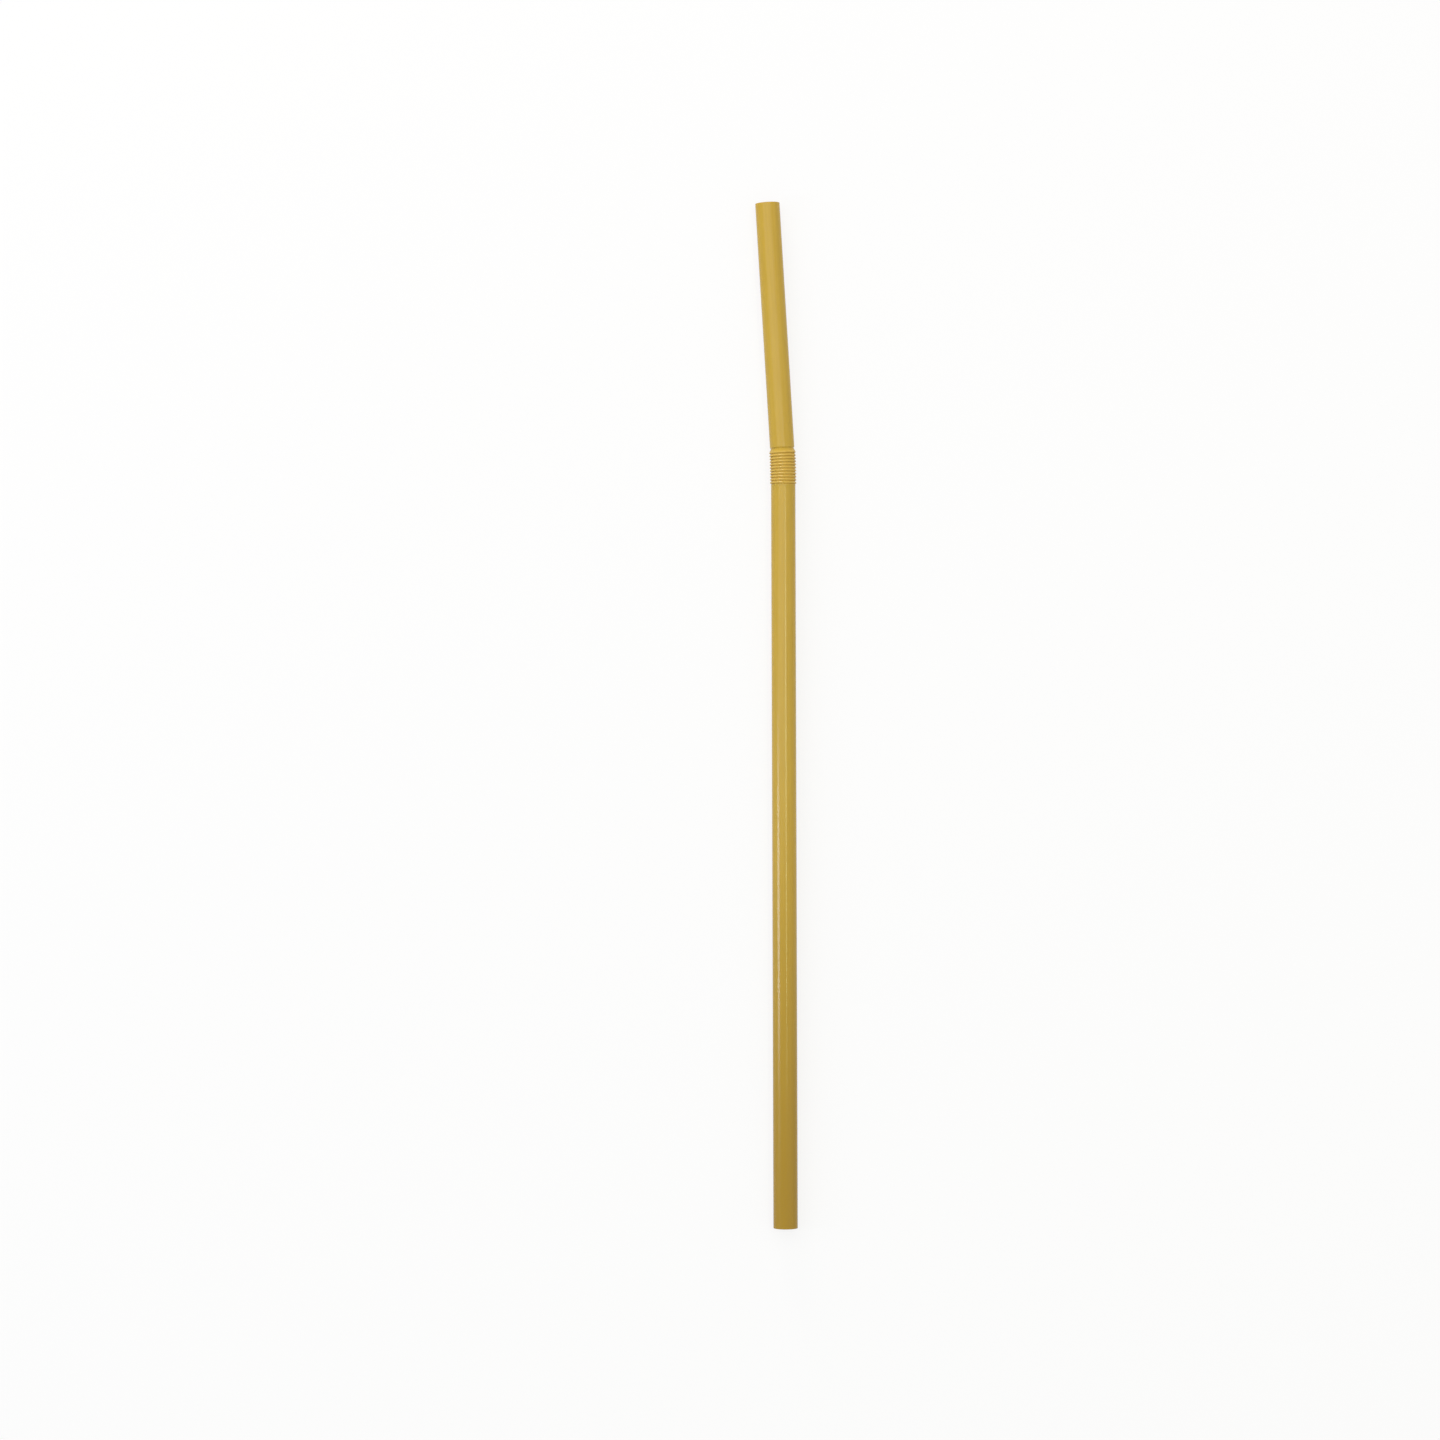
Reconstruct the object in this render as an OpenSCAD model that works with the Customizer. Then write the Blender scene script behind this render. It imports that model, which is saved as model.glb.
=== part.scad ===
// Flexible drinking straw: one thin tube with a collapsed, corrugated collar.
// Lengths are in millimetres and angles in degrees.
// The long tube lies along +Y from the origin, which is the centre of its open
// end. The short drinking tube is beyond the collar and leans towards -X.
// -Z is down: the straw is modelled lying on its side, as it comes to rest.

/* [Tube] */
// Outside diameter of the two plain tubes
tube_d = 5; // [4.6:0.1:7]
// Thickness of the plastic
wall = 0.15; // [0.12:0.01:0.18]
// Length of the long tube, from its cut end to the collar
long_len = 152; // [60:1:220]
// Length of the short drinking tube, from the collar to its cut end
short_len = 50; // [20:1:90]

/* [Collar] */
// Number of folds pressed flat in the collar
folds = 11; // [6:1:16]
// Distance from one fold to the next, measured along the collar
fold_pitch = 0.62; // [0.58:0.01:0.8]
// Depth to which each short leg is tucked back under its own crest
fold_tuck = 0.25; // [0.2:0.01:0.3]
// Height of the crests above the plain tube
crest_proud = 0.2; // [0.12:0.01:0.3]
// Depth of the inner creases, from the tube's outside to the crease's centre
root_depth = 0.405; // [0.36:0.005:0.55]
// Outside radius of the plastic where it is creased
crease_r = 0.125; // [0.11:0.005:0.15]
// Height to which the plastic gathers round a crease, beyond the wall's skin
crease_bead = 0.01; // [0.006:0.002:0.02]

/* [Neck] */
// Depth of the shallow crease where the short tube meets the top fold
neck_depth = 0.25; // [0.18:0.01:0.3]
// Height of the shoulder from that crease out to the short tube
neck_rise = 0.2; // [0.1:0.02:0.5]

/* [Pose] */
// Angle by which the short tube leans away from the long one
lean_angle = 3.3; // [1:0.1:6]

/* [Output] */
// Which piece to build

/* [Hidden] */

// Fineness of the round surfaces in the preview
$fn = 48;

// Radii of the tube: outside, inside and the middle of the plastic
tube_r = tube_d / 2;
bore_r = tube_r - wall;
mid_r = tube_r - wall / 2;

// Radii of the crease centres: outer crests, inner roots and the neck
crest_r = tube_r + crest_proud - crease_r;
root_r = tube_r - root_depth;
neck_r = tube_r - neck_depth;

// Radius to which the middle of the plastic bends in a crease, where the bead
// stands over its skin: it turns left round a crest and right round a root,
// going up
bend_r = crease_r - crease_bead - wall / 2;
round_crest = bend_r;
round_root = -bend_r;

// Long leg of a fold: its rise, its slope and its length, which stays the
// same in the top fold, where the leg stands more upright
leg_rise = fold_pitch + fold_tuck;
leg_slope = leg_rise / (crest_r - root_r);
leg_len = norm([crest_r - root_r, leg_rise]);

// Height of the lowest root above the collar's foot, on the same slope
foot_rise = (mid_r - root_r) * leg_slope;

// Height of the neck above the top root
top_rise = sqrt(leg_len ^ 2 - (crest_r - neck_r) ^ 2) - fold_tuck;

// Each fold takes an equal share of the lean
fold_lean = lean_angle / folds;

// Place of root k in the plane of the lean, as [sideways, along]
function root_at(k) =
    k == 0
        ? [0, long_len + foot_rise]
        : root_at(k - 1) + rise(k - 1) * along((k - 1) * fold_lean);

// Height of fold k, from its own root to the next
function rise(k) = k == folds - 1 ? top_rise : fold_pitch;

// Direction of the axis where it has turned by an angle
function along(angle) = [-sin(angle), cos(angle)];

// Roll about the long tube that brings the short tube's cut end down on to
// the surface that the far end and the collar already touch
tip = root_at(folds) + (neck_rise + short_len) * along(lean_angle);
top_crest = root_at(folds - 1);
rest_slope = crest_proud / (top_crest[1] - top_crest[0] * tip[1] / tip[0]);
rest_roll = asin(min(1, rest_slope * tip[1] / -tip[0]));

// Leg of wall from a bend round p to a bend round q, tangent to both. A bend
// turns left where its radius is positive, right where negative, 0 for a corner
module leg(p, bend_p, q, bend_q) {
    run = q - p;
    heading = atan2(run[1], run[0]) - asin((bend_q - bend_p) / norm(run));
    left = [-sin(heading), cos(heading)];
    start = p - bend_p * left;
    end = q - bend_q * left;
    half = left * wall / 2;
    polygon([start + half, end + half, end - half, start - half]);
}

// Round of plastic along a bend
module bead(p, r) {
    translate(p)
        circle(r = r);
}

// One fold: the short leg tucked down from the root to the crest, and the
// long leg up from the crest to the next root, or to the neck in the top fold
module fold_profile(next_r, next_z, next_bend) {
    root = [root_r, 0];
    crest = [crest_r, -fold_tuck];
    bead(root, crease_r);
    leg(root, round_root, crest, round_crest);
    bead(crest, crease_r);
    leg(crest, round_crest, [next_r, next_z], next_bend);
}

module fold(k) {
    rotate_extrude()
        if (k == folds - 1)
            fold_profile(neck_r, top_rise, 0);
        else
            fold_profile(root_r, fold_pitch, round_root);
}

// Fold k stands in the frame that the folds below it have leaned
module folds_in_place() {
    for (k = [0 : folds - 1])
        at_root(k)
            fold(k);
}

module at_root(k) {
    place = root_at(k);
    translate([place[0], 0, place[1]])
        rotate([0, -k * fold_lean, 0])
            children();
}

// Long tube with the foot cone that runs up into the lowest root
module long_tube() {
    rotate_extrude() {
        translate([bore_r, 0])
            square([wall, long_len]);
        bead([mid_r, long_len], wall / 2);
        leg([mid_r, long_len], 0, [root_r, long_len + foot_rise], round_root);
    }
}

// Short tube with the neck crease and the shoulder that widens to it
module short_tube() {
    rotate_extrude() {
        bead([neck_r, 0], wall / 2 + crease_bead);
        leg([neck_r, 0], 0, [mid_r, neck_rise], 0);
        bead([mid_r, neck_rise], wall / 2);
        translate([bore_r, neck_rise])
            square([wall, short_len]);
    }
}

module straw() {
    color([0.8, 0.64, 0.3])
        rotate([0, -rest_roll, 0])
            rotate([-90, 0, 0]) {
                long_tube();
                folds_in_place();
                at_root(folds)
                    short_tube();
            }
}

straw();
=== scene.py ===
"""Flexible drinking straw: one thin ochre tube with a collapsed, corrugated collar.

Lengths are in metres and angles in radians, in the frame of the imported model. The
long tube lies along +Y from the origin, the short drinking tube is beyond the
collar and leans towards -X, and -Z is down.
"""

import logging
import math
from dataclasses import dataclass, field
from enum import Enum

import bmesh
import bpy
from mathutils import Matrix, Vector


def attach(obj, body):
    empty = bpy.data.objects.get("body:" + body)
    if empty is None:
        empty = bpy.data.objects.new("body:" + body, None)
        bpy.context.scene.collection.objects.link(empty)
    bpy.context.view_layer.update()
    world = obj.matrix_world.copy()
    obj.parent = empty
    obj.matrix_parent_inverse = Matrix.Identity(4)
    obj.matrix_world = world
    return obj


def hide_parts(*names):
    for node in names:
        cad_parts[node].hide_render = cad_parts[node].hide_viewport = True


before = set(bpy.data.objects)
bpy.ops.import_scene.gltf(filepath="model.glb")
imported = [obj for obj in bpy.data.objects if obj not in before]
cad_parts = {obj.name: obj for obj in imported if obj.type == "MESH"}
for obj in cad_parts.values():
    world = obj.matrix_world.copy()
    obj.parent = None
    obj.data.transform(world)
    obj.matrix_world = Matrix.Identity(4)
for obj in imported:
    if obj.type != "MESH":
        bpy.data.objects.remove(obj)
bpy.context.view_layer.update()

MM = 0.001
log = logging.getLogger("straw")

# Two coordinates, the two ends of a range, three coordinates, and a colour
Point = tuple[float, float]
Span = tuple[float, float]
Triple = tuple[float, float, float]
Colour = tuple[float, float, float, float]

WHITE: Colour = (1.0, 1.0, 1.0, 1.0)
QUARTER_TURN = math.radians(90)


class Side(Enum):
    """Which skin of the wall a line follows, as the sign of its offset."""

    OUTER = 1.0
    INNER = -1.0


class Socket(Enum):
    """The kinds of input that the shape tree takes."""

    GEOMETRY = "NodeSocketGeometry"
    WHOLE = "NodeSocketInt"
    NUMBER = "NodeSocketFloat"
    MATERIAL = "NodeSocketMaterial"


class Curve(Enum):
    """How a value runs between the two ends of a ramp."""

    STRAIGHT = "LINEAR"
    EASED = "SMOOTHSTEP"


@dataclass(frozen=True)
class Bend:
    """A bend in the middle of the plastic, turning left where its reach is above 0.

    Its centre is at a radius and a height; a reach of 0 is a plain corner.
    """

    radius: float
    height: float
    reach: float = 0.0

    @property
    def centre(self) -> Point:
        """The bend's centre."""
        return (self.radius, self.height)


@dataclass(frozen=True)
class TubeSizes:
    """The two plain tubes."""

    radius: float = 2.5 * MM
    wall: float = 0.15 * MM
    long_length: float = 152.0 * MM
    short_length: float = 50.0 * MM
    lip_round: float = 0.035 * MM

    @property
    def middle(self) -> float:
        """Radius of the middle of the plastic."""
        return self.radius - self.wall / 2


@dataclass(frozen=True)
class CollarSizes:
    """The folds pressed flat between the tubes, and the lean that they take up."""

    folds: int = 11
    pitch: float = 0.62 * MM
    tuck: float = 0.25 * MM
    crest_proud: float = 0.2 * MM
    root_depth: float = 0.405 * MM
    crease_outside: float = 0.125 * MM
    crease_inside: float = 0.02 * MM
    neck_depth: float = 0.25 * MM
    neck_rise: float = 0.2 * MM
    foot_bend: float = 0.2 * MM
    neck_bend: float = 0.03 * MM
    shoulder_bend: float = 0.09 * MM
    lean: float = math.radians(3.3)
    lean_length: float = 6.834 * MM


@dataclass(frozen=True)
class RestPose:
    """How the straw lies on its side."""

    roll: float = math.radians(-5.261)


@dataclass
class WallOutline:
    """The wall's cut outline, as radius and height, for one tube and its collar.

    A long straight stretch has a ring at every ring gap. Near both ends it has one at
    each end mark that is shorter than the stretch divided by the mark limit.
    """

    tube: TubeSizes = field(default_factory=TubeSizes)
    collar: CollarSizes = field(default_factory=CollarSizes)
    arc_step: float = math.radians(20)
    lip_steps: int = 3
    ring_gap: float = 4.0 * MM
    end_marks: tuple[float, ...] = (0.05 * MM, 0.25 * MM, 1.0 * MM)
    mark_limit: float = 2.5

    @property
    def crest(self) -> float:
        """Radius on which the outer creases' centres lie."""
        return self.tube.radius + self.collar.crest_proud - self.collar.crease_outside

    @property
    def root(self) -> float:
        """Radius on which the inner creases' centres lie."""
        return self.tube.radius - self.collar.root_depth

    def first_root(self) -> float:
        """Height of the lowest inner crease."""
        slope = (self.collar.pitch + self.collar.tuck) / (self.crest - self.root)
        return self.tube.long_length + (self.tube.middle - self.root) * slope

    def bends(self) -> tuple[list[Bend], int, int]:
        """Lays out the middle of the plastic from the long tube's cut end upwards.

        Returns:
            The bends, and the places of the first and the last crest among them.
        """
        t, c = self.tube, self.collar
        neck = t.radius - c.neck_depth
        reach = c.crease_outside - t.wall / 2
        leg = math.hypot(self.crest - self.root, c.pitch + c.tuck)
        base = self.first_root()
        foot = Bend(t.middle - c.foot_bend, t.long_length, c.foot_bend)
        bends = [Bend(t.middle, 0.0), foot]
        for k in range(c.folds):
            height = base + k * c.pitch
            bends.append(Bend(self.root, height, -reach))
            bends.append(Bend(self.crest, height - c.tuck, reach))
        top = bends[-1].height + math.sqrt(leg**2 - (self.crest - neck) ** 2)
        bends += [
            Bend(neck + c.neck_bend, top, -c.neck_bend),
            Bend(t.middle - c.shoulder_bend, top + c.neck_rise, c.shoulder_bend),
            Bend(t.middle, top + c.neck_rise + t.short_length),
        ]
        first_crest = 3
        last_crest = first_crest + 2 * (c.folds - 1)
        return bends, first_crest, last_crest

    def skin(self, bends: list[Bend], side: Side) -> list[list[Point]]:
        """Offsets the middle of the plastic to one skin, with rounded creases.

        Args:
            bends: The bends, from the bottom up.
            side: The skin that is wanted.

        Returns:
            One list for each bend: the points of the skin there.
        """
        normals = []
        for a, b in zip(bends, bends[1:]):
            across, up = b.radius - a.radius, b.height - a.height
            swing = math.asin((b.reach - a.reach) / math.hypot(across, up))
            heading = math.atan2(up, across) - swing
            normals.append((side.value * math.sin(heading), -side.value * math.cos(heading)))
        half = self.tube.wall / 2
        corners = [[self.moved(bends[0].centre, normals[0], half)]]
        for bend, before, after in zip(bends[1:-1], normals, normals[1:]):
            corners.append(self.corner(bend, before, after, side))
        corners.append([self.moved(bends[-1].centre, normals[-1], half)])
        return corners

    def corner(self, bend: Bend, before: Point, after: Point, side: Side) -> list[Point]:
        """Rounds one crease of a skin.

        Args:
            bend: The bend of the plastic.
            before: The skin's normal below the crease.
            after: The skin's normal above the crease.
            side: The skin that is followed.

        Returns:
            The points of the round, from the bottom up.
        """
        turn = math.atan2(
            before[0] * after[1] - before[1] * after[0],
            before[0] * after[0] + before[1] * after[1],
        )
        steps = max(2, math.ceil(abs(turn) / self.arc_step))
        start = math.atan2(before[1], before[0])
        offset = self.tube.wall / 2 + side.value * bend.reach
        if turn * side.value > 0:
            centre, reach = bend.centre, offset
        else:
            small = max(self.collar.crease_inside, -offset)
            across = (offset + small) / math.cos(turn / 2)
            middle = start + turn / 2
            centre = self.moved(bend.centre, (math.cos(middle), math.sin(middle)), across)
            reach = -small
        angles = [start + turn * k / steps for k in range(steps + 1)]
        return [self.moved(centre, (math.cos(a), math.sin(a)), reach) for a in angles]

    @staticmethod
    def moved(place: Point, direction: Point, distance: float) -> Point:
        """A point moved along a direction."""
        return (place[0] + direction[0] * distance, place[1] + direction[1] * distance)

    def lip(self, start: Point, end: Point, outwards: float) -> list[Point]:
        """Rounds the cut end between its two skins.

        Args:
            start: The skin's end that the lip starts from.
            end: The other skin's end.
            outwards: 1 for the upper cut end and -1 for the lower one.

        Returns:
            The points of the lip, without the two skin ends.
        """
        r = self.tube.lip_round
        sign = 1.0 if end[0] > start[0] else -1.0
        out = []
        for corner, first in ((start, 1.0), (end, -1.0)):
            cx = corner[0] + sign * first * r
            cy = corner[1] - outwards * r
            arc = []
            for k in range(self.lip_steps + 1):
                a = QUARTER_TURN * k / self.lip_steps
                arc.append((cx - sign * first * r * math.cos(a), cy + outwards * r * math.sin(a)))
            out += arc if first > 0 else arc[::-1]
        return out

    def with_rings(self, line: list[Point]) -> list[Point]:
        """Adds rings along the straight stretches, close together near their ends.

        Args:
            line: The corner points of a skin.

        Returns:
            The same line with rings between its points.
        """
        out = [line[0]]
        for a, b in zip(line, line[1:]):
            length = math.dist(a, b)
            cuts = {m for m in self.end_marks if m < length / self.mark_limit}
            cuts |= {length - m for m in cuts}
            if length > 2 * self.ring_gap:
                count = round(length / self.ring_gap)
                cuts |= {length * k / count for k in range(1, count)}
            across, up = b[0] - a[0], b[1] - a[1]
            for s in sorted(cuts):
                out.append((a[0] + across * s / length, a[1] + up * s / length))
            out.append(b)
        return out

    def strips(self) -> tuple[list[list[Point]], list[list[Point]]]:
        """Cuts the closed outline into the part of one fold and the rest.

        Returns:
            The lines that repeat with the folds, and the lines that don't.
        """
        bends, first, last = self.bends()
        outer = self.skin(bends, Side.OUTER)
        inner = self.skin(bends, Side.INNER)
        repeated, rest = [], []
        ends = {}
        for side, skin in ((Side.OUTER, outer), (Side.INNER, inner)):
            foot = self.halfway(skin[first][-1], skin[first + 1][0])
            roof = self.halfway(skin[last - 2][-1], skin[last - 1][0])
            one = [foot] + skin[first + 1] + skin[first + 2]
            one.append((foot[0], foot[1] + self.collar.pitch))
            low = [p for corner in skin[: first + 1] for p in corner] + [foot]
            high = [roof] + [p for corner in skin[last - 1 :] for p in corner]
            ends[side] = (low, high)
            repeated.append(one if side is Side.OUTER else one[::-1])
        low_out, high_out = ends[Side.OUTER]
        low_in, high_in = ends[Side.INNER]
        bottom = self.lip(low_in[0], low_out[0], -1.0)
        top = self.lip(high_out[-1], high_in[-1], 1.0)
        rest.append(low_in[:0:-1] + bottom + low_out[1:])
        rest.append(high_out[:-1] + top + high_in[-2::-1])
        return [self.with_rings(s) for s in repeated], [self.with_rings(s) for s in rest]

    @staticmethod
    def halfway(a: Point, b: Point) -> Point:
        """The point between two others."""
        return ((a[0] + b[0]) / 2, (a[1] + b[1]) / 2)

    def base_mesh(self) -> bpy.types.Mesh:
        """Makes the outline's lines a mesh of edges, marked where they repeat.

        Returns:
            The mesh, with radius along X and height along Y.
        """
        repeated, rest = self.strips()
        verts, edges, marks = [], [], []
        for lines, mark in ((repeated, True), (rest, False)):
            for line in lines:
                start = len(verts)
                verts += [(r, h, 0.0) for r, h in line]
                edges += [(k, k + 1) for k in range(start, len(verts) - 1)]
                marks += [mark] * len(line)
        mesh = bpy.data.meshes.new("wall_outline")
        mesh.from_pydata(verts, edges, [])
        flag = mesh.attributes.new("repeats", "BOOLEAN", "POINT")
        flag.data.foreach_set("value", marks)
        return mesh


class NodeSheet:
    """A node tree under construction, with short calls for its nodes and links."""

    # Places of the sockets of a mix of two colours, which share their names with others
    MIX_SHARE, MIX_LOW, MIX_HIGH, MIX_RESULT = 0, 6, 7, 2

    def __init__(self, tree: bpy.types.NodeTree) -> None:
        """Takes over an empty tree."""
        self.tree = tree

    def add(self, kind: str, inputs: dict | None = None, **settings: object) -> bpy.types.Node:
        """Adds a node.

        Args:
            kind: Blender's name for the node.
            inputs: A value or an output socket for each input, by name or place.
            settings: Properties of the node.

        Returns:
            The new node.
        """
        node = self.tree.nodes.new(kind)
        for name, value in settings.items():
            setattr(node, name, value)
        for name, value in (inputs or {}).items():
            if isinstance(value, bpy.types.NodeSocket):
                self.tree.links.new(value, node.inputs[name])
            else:
                node.inputs[name].default_value = value
        return node

    def sum(self, operation: str, *values: object) -> bpy.types.NodeSocket:
        """Works out a value from one, two or three others.

        Args:
            operation: Blender's name for the operation.
            values: Numbers or output sockets.

        Returns:
            The result's socket.
        """
        return self.add("ShaderNodeMath", dict(enumerate(values)), operation=operation).outputs[0]

    def mean(self, low: object, high: object, share: object) -> bpy.types.NodeSocket:
        """Mixes two colours.

        Args:
            low: The colour at share 0.
            high: The colour at share 1.
            share: A number or a socket.

        Returns:
            The mixed colour's socket.
        """
        inputs = {self.MIX_SHARE: share, self.MIX_LOW: low, self.MIX_HIGH: high}
        return self.add("ShaderNodeMix", inputs, data_type="RGBA").outputs[self.MIX_RESULT]

    def ramp(
        self, value: bpy.types.NodeSocket, source: Span, result: Span, curve: Curve = Curve.STRAIGHT
    ) -> bpy.types.NodeSocket:
        """Maps one range of values to another, held at its ends.

        Args:
            value: The value's socket.
            source: The two ends of the range that comes in.
            result: What the two ends become.
            curve: How the value runs between them.

        Returns:
            The mapped value's socket.
        """
        inputs = {
            "Value": value,
            "From Min": source[0],
            "From Max": source[1],
            "To Min": result[0],
            "To Max": result[1],
        }
        node = self.add("ShaderNodeMapRange", inputs, interpolation_type=curve.value)
        return node.outputs[0]


@dataclass
class StrawShapeTree:
    """The Geometry Nodes tree that turns the outline into the straw.

    Points nearer than the weld are joined. The ring's own radius doesn't show, because
    each point of the revolved skin is placed anew.
    """

    name: str = "straw_shape"
    weld: float = 0.002 * MM
    ring_radius: float = 1.0 * MM

    def inputs(self) -> list[tuple[str, Socket]]:
        """The tree's named inputs, in order."""
        return [
            ("Outline", Socket.GEOMETRY),
            ("Sides", Socket.WHOLE),
            ("Plain Folds", Socket.WHOLE),
            ("Fold Pitch", Socket.NUMBER),
            ("Lean", Socket.NUMBER),
            ("Lean Start", Socket.NUMBER),
            ("Lean Length", Socket.NUMBER),
            ("Roll", Socket.NUMBER),
            ("Plastic", Socket.MATERIAL),
        ]

    def build(self) -> bpy.types.NodeTree:
        """Builds the tree.

        Returns:
            The tree, with its inputs named.
        """
        tree = bpy.data.node_groups.new(self.name, "GeometryNodeTree")
        for label, kind in self.inputs():
            tree.interface.new_socket(label, in_out="INPUT", socket_type=kind.value)
        tree.interface.new_socket("Straw", in_out="OUTPUT", socket_type=Socket.GEOMETRY.value)
        sheet = NodeSheet(tree)
        given = sheet.add("NodeGroupInput").outputs
        marked = sheet.add(
            "GeometryNodeInputNamedAttribute", {"Name": "repeats"}, data_type="BOOLEAN"
        )
        parts = sheet.add(
            "GeometryNodeSeparateGeometry",
            {"Geometry": given["Outline"], "Selection": marked.outputs["Attribute"]},
            domain="POINT",
        )
        fold = self.revolved(sheet, parts.outputs["Selection"], given["Sides"])
        rest = self.revolved(sheet, parts.outputs["Inverted"], given["Sides"])
        step = sheet.add("ShaderNodeCombineXYZ", {"Y": given["Fold Pitch"]})
        line = sheet.add(
            "GeometryNodeMeshLine",
            {"Count": given["Plain Folds"], "Offset": step.outputs[0]},
            mode="OFFSET",
        )
        copies = sheet.add(
            "GeometryNodeInstanceOnPoints", {"Points": line.outputs[0], "Instance": fold}
        )
        real = sheet.add("GeometryNodeRealizeInstances", {"Geometry": copies.outputs[0]})
        joined = sheet.add("GeometryNodeJoinGeometry", {"Geometry": rest})
        tree.links.new(real.outputs[0], joined.inputs[0])
        closed = sheet.add(
            "GeometryNodeMergeByDistance", {"Geometry": joined.outputs[0], "Distance": self.weld}
        )
        place = sheet.add("GeometryNodeInputPosition").outputs[0]
        kept = sheet.add(
            "GeometryNodeStoreNamedAttribute",
            {"Geometry": closed.outputs[0], "Name": "straight_place", "Value": place},
            data_type="FLOAT_VECTOR",
            domain="POINT",
        )
        leaned = sheet.add(
            "GeometryNodeSetPosition",
            {"Geometry": kept.outputs[0], "Position": self.leaned(sheet, place, given)},
        )
        turn = sheet.add("ShaderNodeCombineXYZ", {"Y": given["Roll"]})
        rolled = sheet.add(
            "GeometryNodeTransform", {"Geometry": leaned.outputs[0], "Rotation": turn.outputs[0]}
        )
        smooth = sheet.add("GeometryNodeSetShadeSmooth", {0: rolled.outputs[0]})
        whole = sheet.add("GeometryNodeRealizeInstances", {"Geometry": smooth.outputs[0]})
        dressed = sheet.add(
            "GeometryNodeSetMaterial", {"Geometry": whole.outputs[0], "Material": given["Plastic"]}
        )
        sheet.add("NodeGroupOutput", {"Straw": dressed.outputs[0]})
        return tree

    def revolved(
        self, sheet: NodeSheet, lines: bpy.types.NodeSocket, sides: bpy.types.NodeSocket
    ) -> bpy.types.NodeSocket:
        """Turns outline lines round the tube's axis.

        Args:
            sheet: The tree being built.
            lines: The lines, with radius along X and height along Y.
            sides: Number of faces round the tube.

        Returns:
            The revolved mesh's socket.
        """
        curves = sheet.add("GeometryNodeMeshToCurve", {"Mesh": lines})
        where = sheet.add("GeometryNodeInputPosition").outputs[0]
        noted = sheet.add(
            "GeometryNodeStoreNamedAttribute",
            {"Geometry": curves.outputs[0], "Name": "cut_place", "Value": where},
            data_type="FLOAT_VECTOR",
            domain="POINT",
        )
        ring = sheet.add(
            "GeometryNodeCurvePrimitiveCircle", {"Resolution": sides, "Radius": self.ring_radius}
        )
        index = sheet.add("GeometryNodeInputIndex").outputs[0]
        angle = sheet.sum("DIVIDE", sheet.sum("MULTIPLY", index, 2 * math.pi), sides)
        marked = sheet.add(
            "GeometryNodeStoreNamedAttribute",
            {"Geometry": ring.outputs[0], "Name": "turn", "Value": angle},
            data_type="FLOAT",
            domain="POINT",
        )
        skin = sheet.add(
            "GeometryNodeCurveToMesh",
            {"Curve": noted.outputs[0], "Profile Curve": marked.outputs[0]},
        )
        cut = sheet.add(
            "GeometryNodeInputNamedAttribute", {"Name": "cut_place"}, data_type="FLOAT_VECTOR"
        )
        split = sheet.add("ShaderNodeSeparateXYZ", {0: cut.outputs["Attribute"]})
        turn = sheet.add("GeometryNodeInputNamedAttribute", {"Name": "turn"}, data_type="FLOAT")
        turned = turn.outputs["Attribute"]
        radius = split.outputs["X"]
        x = sheet.sum("MULTIPLY", radius, sheet.sum("COSINE", turned))
        z = sheet.sum("MULTIPLY", radius, sheet.sum("SINE", turned))
        spot = sheet.add("ShaderNodeCombineXYZ", {"X": x, "Y": split.outputs["Y"], "Z": z})
        placed = sheet.add(
            "GeometryNodeSetPosition", {"Geometry": skin.outputs[0], "Position": spot.outputs[0]}
        )
        return placed.outputs[0]

    def leaned(
        self, sheet: NodeSheet, place: bpy.types.NodeSocket, given: bpy.types.NodeOutputs
    ) -> bpy.types.NodeSocket:
        """Bends the straight tube over the collar's length.

        Args:
            sheet: The tree being built.
            place: The position on the straight tube.
            given: The tree's inputs.

        Returns:
            The socket of the position on the leaning tube.
        """
        split = sheet.add("ShaderNodeSeparateXYZ", {0: place})
        past = sheet.sum("SUBTRACT", split.outputs["Y"], given["Lean Start"])
        within = sheet.sum("MINIMUM", sheet.sum("MAXIMUM", past, 0.0), given["Lean Length"])
        beyond = sheet.sum("MAXIMUM", sheet.sum("SUBTRACT", past, given["Lean Length"]), 0.0)
        below = sheet.sum("MINIMUM", split.outputs["Y"], given["Lean Start"])
        bend = sheet.sum("DIVIDE", given["Lean Length"], given["Lean"])
        angle = sheet.sum("DIVIDE", within, bend)
        sine, cosine = sheet.sum("SINE", angle), sheet.sum("COSINE", angle)
        versine = sheet.sum("SUBTRACT", 1.0, cosine)
        aside = sheet.sum("MULTIPLY_ADD", bend, versine, sheet.sum("MULTIPLY", beyond, sine))
        raised = sheet.sum("MULTIPLY_ADD", beyond, cosine, below)
        up = sheet.sum("MULTIPLY_ADD", bend, sine, raised)
        x = sheet.sum("SUBTRACT", sheet.sum("MULTIPLY", split.outputs["X"], cosine), aside)
        y = sheet.sum("MULTIPLY_ADD", split.outputs["X"], sine, up)
        spot = sheet.add("ShaderNodeCombineXYZ", {"X": x, "Y": y, "Z": split.outputs["Z"]})
        return spot.outputs[0]


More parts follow.
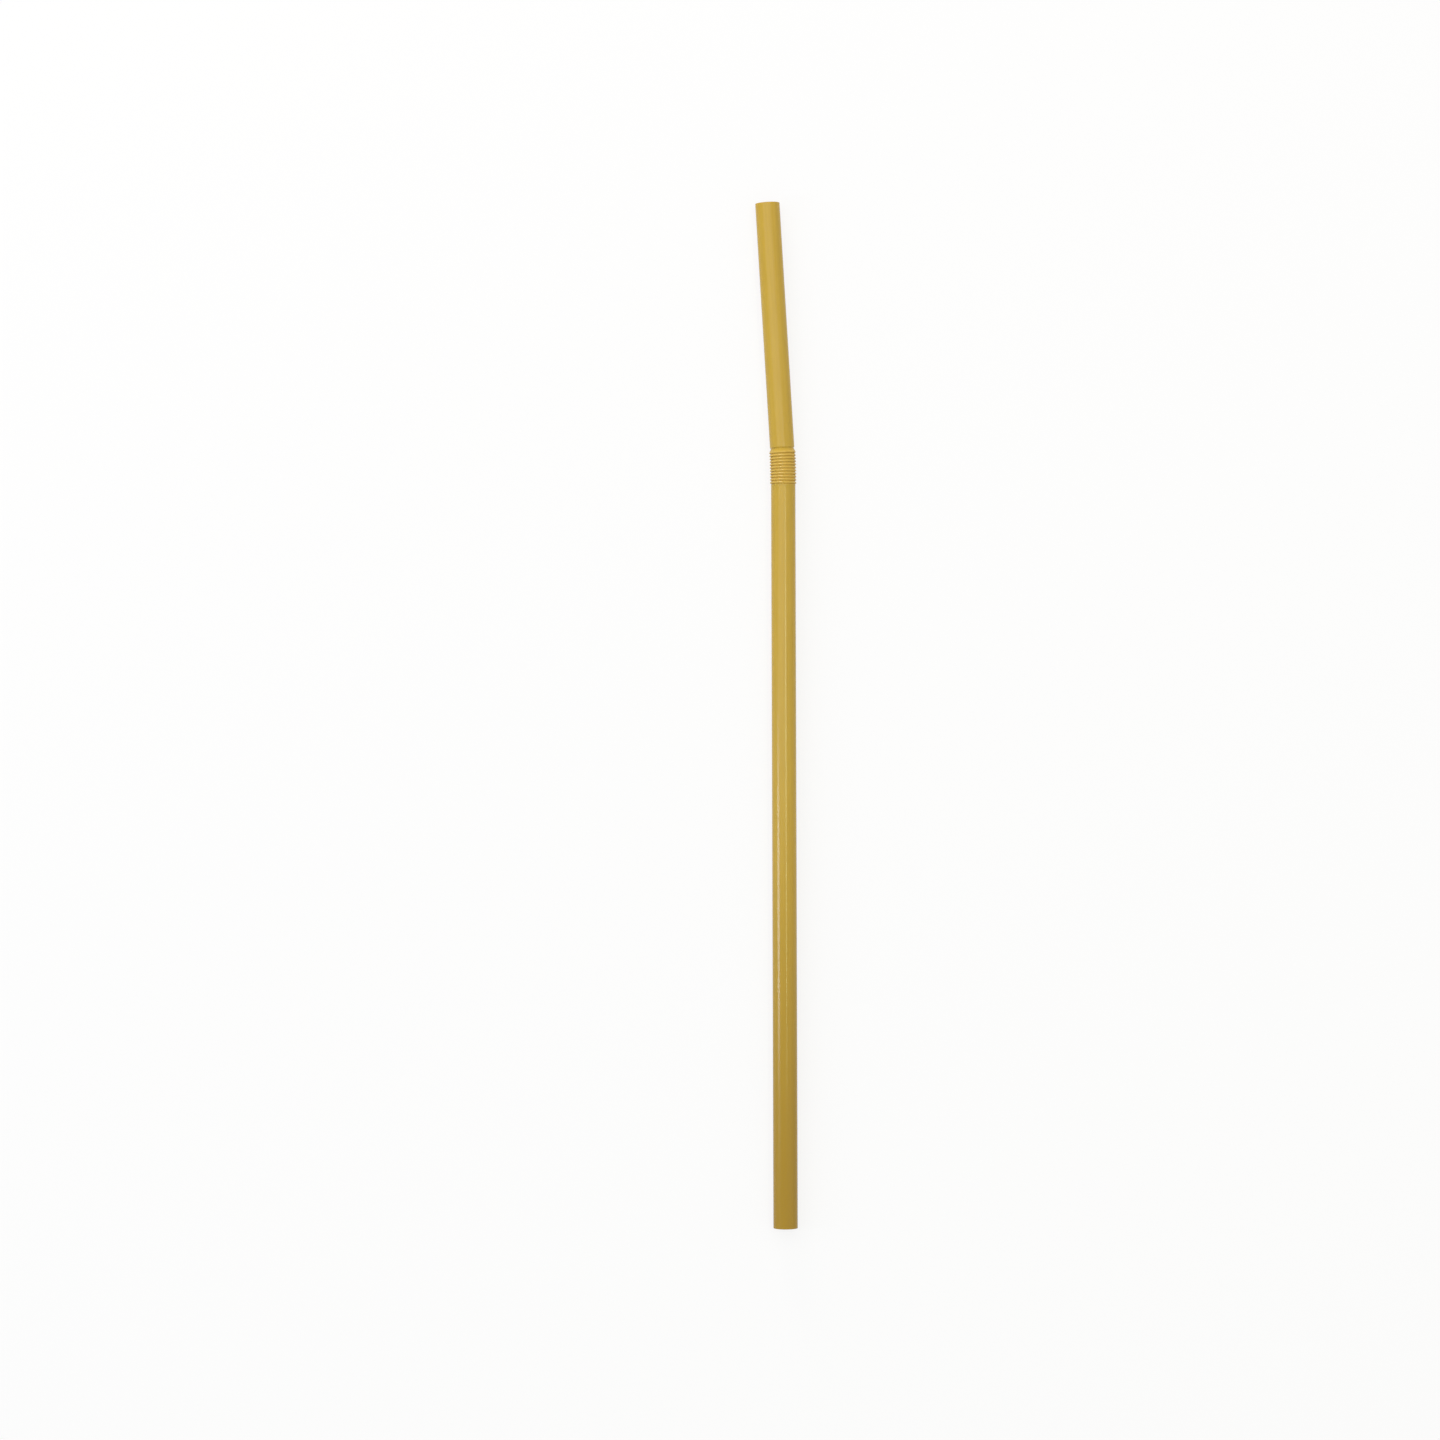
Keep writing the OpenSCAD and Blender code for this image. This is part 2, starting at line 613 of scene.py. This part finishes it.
@dataclass(frozen=True)
class OchreFilm:
    """Thin ochre polypropylene: satin, a little translucent, drawn in fine streaks, with painted
    shade towards the long tube's cut end and painted light in the collar's folds.
    """

    # The plain tube, its darker streaks, and the painted shade at the long tube's cut end,
    # which it darkens to over the end reach as the light falls off there
    body: Colour = (0.68, 0.455, 0.050, 1.0)
    drawn: Colour = (0.64, 0.420, 0.042, 1.0)
    painted_end_shade: Colour = (0.49, 0.295, 0.018, 1.0)
    end_shade_reach: float = 95.0 * MM
    # The folds' colours at their crests and in their grooves, and the radii of both. The crests
    # are paler than the tube, partly for the plastic's stress whitening and partly as painted
    # light; the grooves are paler still, painted light that offsets the shade in them
    crest: Colour = (0.73, 0.496, 0.087, 1.0)
    groove_painted_light: Colour = (0.87, 0.620, 0.142, 1.0)
    fold_radii: Span = (2.68 * MM, 2.42 * MM)
    # Where the collar's look, whitened plastic with painted light in its folds, starts and ends,
    # half the length over which it fades there, its greatest share, and the roughness that it adds
    collar_foot: float = 152.1 * MM
    collar_head: float = 158.8 * MM
    collar_fade: float = 0.2 * MM
    whitened_and_lit: float = 0.9
    dulled: float = 0.2
    # Fine streaks and slow clouds: waves per metre along each axis and finer layers
    streak_waves: Triple = (3200.0, 45.0, 3200.0)
    streak_detail: float = 4.0
    cloud_waves: Triple = (420.0, 130.0, 420.0)
    cloud_detail: float = 2.0
    # How much each counts in the tone, and the range of tones from darkest to palest
    streaks_in_tone: float = 0.65
    clouds_in_tone: float = 0.35
    tone_range: Span = (0.36, 0.64)
    # The roughness, and what it gains from one end of the streaks' range to the other
    roughness: float = 0.14
    roughness_gain: Span = (-0.03, 0.05)
    streak_range: Span = (0.3, 0.7)
    # How much each counts in the relief, and the relief's strength and height
    streaks_in_relief: float = 0.4
    clouds_in_relief: float = 0.6
    relief_strength: float = 0.15
    relief_height: float = 0.02 * MM
    refraction: float = 1.45
    # Share of the light that passes into the wall
    through: float = 0.2

    def build(self) -> bpy.types.Material:
        """Builds the material.

        Returns:
            The material, which reads the place on the straight tube.
        """
        made = bpy.data.materials.new("ochre_film")
        made.use_nodes = True
        sheet = NodeSheet(made.node_tree)
        made.node_tree.nodes.clear()
        place = sheet.add("ShaderNodeAttribute", attribute_name="straight_place").outputs["Vector"]
        split = sheet.add("ShaderNodeSeparateXYZ", {0: place}).outputs
        height = split["Y"]
        across = sheet.sum("MULTIPLY", split["X"], split["X"])
        square = sheet.sum("MULTIPLY_ADD", split["Z"], split["Z"], across)
        depth = sheet.ramp(sheet.sum("SQRT", square), self.fold_radii, (0.0, 1.0))
        streak = self.noise(sheet, place, self.streak_waves, self.streak_detail)
        cloud = self.noise(sheet, place, self.cloud_waves, self.cloud_detail)
        clouded = sheet.sum("MULTIPLY", cloud, self.clouds_in_tone)
        tone = sheet.sum("MULTIPLY_ADD", streak, self.streaks_in_tone, clouded)
        plain = sheet.mean(self.drawn, self.body, sheet.ramp(tone, self.tone_range, (0.0, 1.0)))
        # Painted shade: the tube darkens towards the long tube's cut end, where the light falls off
        end_shade = sheet.ramp(height, (self.end_shade_reach, 0.0), (0.0, 1.0), Curve.EASED)
        end_shaded = sheet.mean(plain, self.painted_end_shade, end_shade)
        # Paler at the crests for stress whitening and painted light, and paler still in the grooves
        # as painted light against the shade there
        folds_whitened_lit = sheet.mean(self.crest, self.groove_painted_light, depth)
        whitened_and_lit = self.collar_whitening_and_light(sheet, height)
        colour = sheet.mean(end_shaded, folds_whitened_lit, whitened_and_lit)
        least, most = (self.roughness + gain for gain in self.roughness_gain)
        satin = sheet.ramp(streak, self.streak_range, (least, most))
        rough = sheet.sum("MULTIPLY_ADD", whitened_and_lit, self.dulled, satin)
        streaked = sheet.sum("MULTIPLY", streak, self.streaks_in_relief)
        relief = sheet.sum("MULTIPLY_ADD", cloud, self.clouds_in_relief, streaked)
        bump = sheet.add(
            "ShaderNodeBump",
            {"Strength": self.relief_strength, "Distance": self.relief_height, "Height": relief},
        ).outputs[0]
        plastic = sheet.add(
            "ShaderNodeBsdfPrincipled",
            {"Base Color": colour, "Roughness": rough, "IOR": self.refraction, "Normal": bump},
        )
        glow = sheet.add("ShaderNodeBsdfTranslucent", {"Color": colour, "Normal": bump})
        mixed = sheet.add(
            "ShaderNodeMixShader", {0: self.through, 1: plastic.outputs[0], 2: glow.outputs[0]}
        )
        sheet.add("ShaderNodeOutputMaterial", {"Surface": mixed.outputs[0]})
        return made

    def collar_whitening_and_light(self, sheet: NodeSheet, height: bpy.types.NodeSocket) -> bpy.types.NodeSocket:
        """Works out how far the plastic has the collar's look: whitened, duller plastic, with
        painted light that offsets the shade in its folds.

        Args:
            sheet: The tree being built.
            height: The height on the straight tube.

        Returns:
            The socket of the share, which is 0 outside the collar.
        """
        foot, head, fade = self.collar_foot, self.collar_head, self.collar_fade
        above = sheet.ramp(height, (foot - fade, foot + fade), (0.0, self.whitened_and_lit))
        below = sheet.ramp(height, (head - fade, head + fade), (1.0, 0.0))
        return sheet.sum("MULTIPLY", above, below)

    @staticmethod
    def noise(
        sheet: NodeSheet, place: bpy.types.NodeSocket, waves: Triple, detail: float
    ) -> bpy.types.NodeSocket:
        """Adds smooth noise, stretched along the tube.

        Args:
            sheet: The tree being built.
            place: The place on the straight tube.
            waves: Waves per metre along each axis.
            detail: Number of finer layers.

        Returns:
            The noise's socket.
        """
        scaled = sheet.add("ShaderNodeMapping", {"Vector": place, "Scale": waves})
        inputs = {"Vector": scaled.outputs[0], "Scale": 1.0, "Detail": detail}
        return sheet.add("ShaderNodeTexNoise", inputs).outputs[0]


@dataclass
class Straw:
    """The whole straw, which is one moulding."""

    tube: TubeSizes = field(default_factory=TubeSizes)
    collar: CollarSizes = field(default_factory=CollarSizes)
    pose: RestPose = field(default_factory=RestPose)
    film: OchreFilm = field(default_factory=OchreFilm)
    sides: int = 96

    def build(self) -> bpy.types.Object:
        """Makes the straw from its outline and dresses it.

        Returns:
            The finished object, a plain mesh at the origin.
        """
        outline = WallOutline(self.tube, self.collar)
        base = bpy.data.objects.new("straw_wall", outline.base_mesh())
        bpy.context.scene.collection.objects.link(base)
        tree = StrawShapeTree().build()
        shaper = base.modifiers.new("shape", "NODES")
        shaper.node_group = tree
        sizes = {
            "Sides": self.sides,
            # The lowest and the top fold are in the part of the outline that isn't repeated
            "Plain Folds": self.collar.folds - 2,
            "Fold Pitch": self.collar.pitch,
            "Lean": self.collar.lean,
            "Lean Start": outline.first_root() + self.collar.pitch / 2,
            "Lean Length": self.collar.lean_length,
            "Roll": self.pose.roll,
            "Plastic": self.film.build(),
        }
        for item in tree.interface.items_tree:
            if item.item_type == "SOCKET" and item.in_out == "INPUT" and item.name in sizes:
                shaper[item.identifier] = sizes[item.name]
        self.settle(base)
        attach(base, "root")
        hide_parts("straw")
        return base

    @staticmethod
    def settle(piece: bpy.types.Object) -> None:
        """Turns the modifier's result into the piece's own plain mesh.

        Args:
            piece: The object that carries the shape modifier.
        """
        graph = bpy.context.evaluated_depsgraph_get()
        made = bpy.data.meshes.new_from_object(piece.evaluated_get(graph), depsgraph=graph)
        piece.modifiers.clear()
        piece.data = made
        for name in ("cut_place", "turn", "repeats"):
            if name in made.attributes:
                made.attributes.remove(made.attributes[name])
        shell = bmesh.new()
        shell.from_mesh(made)
        if shell.calc_volume(signed=True) < 0:
            bmesh.ops.reverse_faces(shell, faces=shell.faces)
            shell.to_mesh(made)
        log.info(
            "%s: %d points, %d faces, %.1f mm3, %d open edges",
            piece.name,
            len(shell.verts),
            len(shell.faces),
            shell.calc_volume(signed=True) / MM**3,
            sum(1 for edge in shell.edges if not edge.is_manifold),
        )
        shell.free()


class Lamp(Enum):
    """The studio's soft lamps."""

    KEY = "key_panel"
    FILL = "fill_panel"
    LEFT_STRIP = "left_strip"
    RIGHT_STRIP = "right_strip"
    COLLAR_GLINT = "collar_glint"


@dataclass(frozen=True)
class Panel:
    """A rectangular lamp: where it hangs, where it points, its sides and its power."""

    place: Triple
    aim: Triple
    width: float
    length: float
    power: float
    tint: Triple


@dataclass
class Studio:
    """The pale floor, the soft lamps and the camera that looks straight down."""

    # The floor, which fades over its span of distances from a share of white to all white
    floor_height: float = -2.78 * MM
    floor_centre: Point = (0.0, 0.1)
    floor_half: float = 3.0
    floor_grey: Colour = (0.93, 0.93, 0.93, 1.0)
    floor_white: float = 0.82
    floor_fade: Span = (0.25, 1.0)
    # The surround's brightness as a light
    surround: float = 0.42
    panels: dict[Lamp, Panel] = field(
        default_factory=lambda: {
            Lamp.KEY: Panel(
                place=(-0.31, 0.575, 1.1),
                aim=(-0.31, 0.575, 0.0),
                width=1.78,
                length=1.05,
                power=7.95,
                tint=(1.0, 0.985, 1.0),
            ),
            Lamp.FILL: Panel(
                place=(0.9, 0.1, 0.7),
                aim=(0.0, 0.12, 0.0),
                width=0.8,
                length=0.8,
                power=1.0,
                tint=(1.0, 0.76, 0.42),
            ),
            Lamp.LEFT_STRIP: Panel(
                place=(-0.66, 0.034, 0.38),
                aim=(0.0, 0.074, 0.0),
                width=0.11,
                length=0.3,
                power=0.85,
                tint=(0.72, 0.84, 1.0),
            ),
            Lamp.RIGHT_STRIP: Panel(
                place=(0.22, 0.08, 0.74),
                aim=(0.0, 0.09, 0.0),
                width=0.22,
                length=0.04,
                power=0.42,
                tint=(0.8, 1.0, 0.6),
            ),
            Lamp.COLLAR_GLINT: Panel(
                place=(-0.2, 0.906, 0.19),
                aim=(0.0, 0.156, 0.0),
                width=0.24,
                length=0.24,
                power=2.5,
                tint=(1.0, 0.87, 0.84),
            ),
        }
    )
    # The picture: its sides in metres on the ground and in pixels, the pixel that shows
    # the frame's origin, and its turn
    frame_width: float = 294.5 * MM
    image_size: float = 1440.0
    origin_pixel: Point = (785.6, 1228.0)
    roll: float = math.radians(0.184)
    # The camera's lens and sensor in millimetres, and the nearest and farthest it sees
    lens: float = 100.0
    sensor: float = 36.0
    sight: Span = (0.01, 20.0)

    def build(self) -> None:
        """Sets up the floor, the lamps, the surround and the camera."""
        self.build_floor()
        for lamp, panel in self.panels.items():
            self.hang(lamp, panel)
        self.build_world()
        self.place_camera()

    def build_floor(self) -> None:
        """Lays the plain pale floor under the straw, which fades to white away from it."""
        half = self.floor_half
        corners = [(-half, -half, 0.0), (half, -half, 0.0), (half, half, 0.0), (-half, half, 0.0)]
        middle = (*self.floor_centre, self.floor_height)
        mesh = bpy.data.meshes.new("floor")
        mesh.from_pydata(corners, [], [(0, 1, 2, 3)])
        mesh.transform(Matrix.Translation(middle))
        floor = bpy.data.objects.new("floor", mesh)
        bpy.context.scene.collection.objects.link(floor)
        paint = bpy.data.materials.new("pale_floor")
        paint.use_nodes = True
        paint.node_tree.nodes.clear()
        sheet = NodeSheet(paint.node_tree)
        matt = sheet.add("ShaderNodeBsdfDiffuse", {"Color": self.floor_grey})
        white = sheet.add("ShaderNodeEmission", {"Color": WHITE, "Strength": 1.0})
        place = sheet.add("ShaderNodeTexCoord").outputs["Object"]
        away = sheet.add("ShaderNodeVectorMath", {0: place, 1: middle}, operation="DISTANCE")
        whiter = sheet.ramp(
            away.outputs["Value"], self.floor_fade, (self.floor_white, 1.0), Curve.EASED
        )
        share = sheet.sum("MULTIPLY", self.looked_at(sheet), whiter)
        seen = sheet.add(
            "ShaderNodeMixShader", {0: share, 1: matt.outputs[0], 2: white.outputs[0]}
        )
        sheet.add("ShaderNodeOutputMaterial", {"Surface": seen.outputs[0]})
        mesh.materials.append(paint)
        log.info("floor: pale, %.2f mm below the tube's axis", -self.floor_height / MM)

    @staticmethod
    def looked_at(sheet: NodeSheet) -> bpy.types.NodeSocket:
        """Adds the test for a ray that shows a surface, instead of lighting with it.

        Args:
            sheet: The tree being built.

        Returns:
            The socket that is 1 for the camera's, mirrored and passing rays.
        """
        ray = sheet.add("ShaderNodeLightPath").outputs
        seen = sheet.sum("MAXIMUM", ray["Is Camera Ray"], ray["Is Glossy Ray"])
        return sheet.sum("MAXIMUM", seen, ray["Is Transmission Ray"])

    def hang(self, lamp: Lamp, panel: Panel) -> None:
        """Hangs one lamp.

        Args:
            lamp: Which lamp it is.
            panel: Its place, direction, size and power.
        """
        data = bpy.data.lights.new(lamp.value, "AREA")
        data.shape = "RECTANGLE"
        data.size, data.size_y = panel.width, panel.length
        data.energy = panel.power
        data.color = panel.tint
        holder = bpy.data.objects.new(lamp.value, data)
        holder.location = panel.place
        holder.visible_camera = False
        towards = Vector(panel.aim) - Vector(panel.place)
        holder.rotation_euler = towards.to_track_quat("-Z", "Y").to_euler()
        bpy.context.scene.collection.objects.link(holder)

    def build_world(self) -> None:
        """Makes the surround white where it is seen or mirrored, and dim as a light."""
        world = bpy.data.worlds.new("studio_surround")
        bpy.context.scene.world = world
        world.use_nodes = True
        world.node_tree.nodes.clear()
        sheet = NodeSheet(world.node_tree)
        strength = sheet.ramp(self.looked_at(sheet), (0.0, 1.0), (self.surround, 1.0))
        glow = sheet.add("ShaderNodeBackground", {"Color": WHITE, "Strength": strength})
        sheet.add("ShaderNodeOutputWorld", {"Surface": glow.outputs[0]})

    def place_camera(self) -> None:
        """Places the camera straight above, framed as the photograph is."""
        data = bpy.data.cameras.new("camera")
        data.lens, data.sensor_width = self.lens, self.sensor
        data.dof.use_dof = False
        camera = bpy.data.objects.new("camera", data)
        scale = self.frame_width / self.image_size
        right = Vector((math.cos(self.roll), -math.sin(self.roll), 0.0))
        up = Vector((math.sin(self.roll), math.cos(self.roll), 0.0))
        aside = (self.origin_pixel[0] - self.image_size / 2) * scale
        down = (self.origin_pixel[1] - self.image_size / 2) * scale
        centre = up * down - right * aside
        height = self.frame_width * self.lens / self.sensor
        camera.location = centre + Vector((0.0, 0.0, height))
        camera.rotation_euler = (0.0, 0.0, -self.roll)
        data.clip_start, data.clip_end = self.sight
        bpy.context.scene.collection.objects.link(camera)
        bpy.context.scene.camera = camera


def main() -> None:
    """Builds the straw and the studio."""
    logging.basicConfig(level=logging.INFO, format="%(name)s: %(message)s")
    bpy.context.scene.view_settings.view_transform = "Standard"
    Studio().build()
    Straw().build()


if __name__ == "__main__":
    main()
